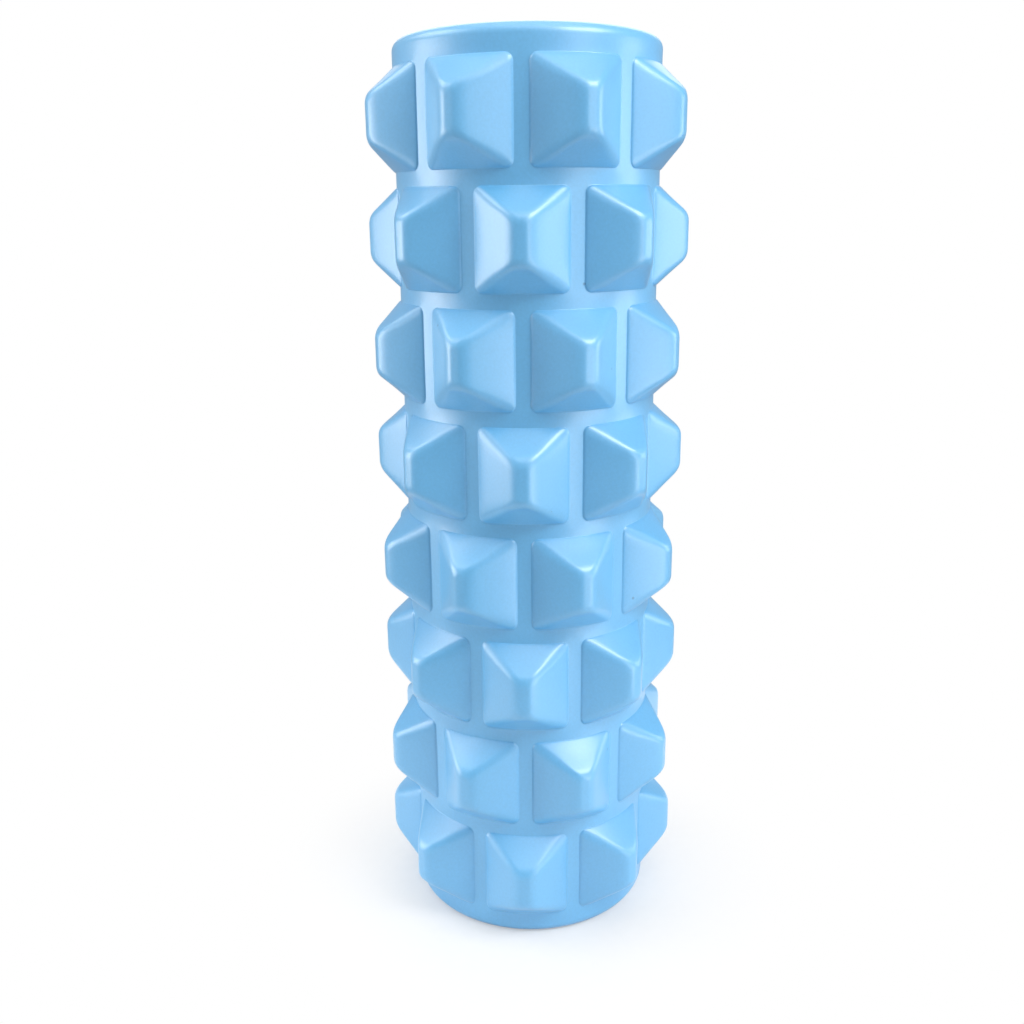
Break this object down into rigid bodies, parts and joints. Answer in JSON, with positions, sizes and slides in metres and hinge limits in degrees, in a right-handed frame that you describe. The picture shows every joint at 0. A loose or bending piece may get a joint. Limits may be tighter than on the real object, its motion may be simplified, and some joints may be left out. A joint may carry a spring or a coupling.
{
  "type": "foam roller",
  "caption": "Hollow foam massage roller with staggered pyramid lugs moulded around a foam sleeve on a rigid open core tube, standing on end.",
  "frame": {"origin": "centre of the lower end face, at the bottom of the roller standing on end", "axes": "+Z along the roller's axis, upwards; -Y towards a lug of the lowest row"},
  "size_m": [0.106, 0.106, 0.3],
  "materials": {
    "eva_foam": "satin moulded foam skin",
    "abs_core": "extruded, satin"
  },
  "bodies": {
    "root": {"foam_sleeve": "eva_foam", "core_tube": "abs_core"}
  },
  "joints": []
}
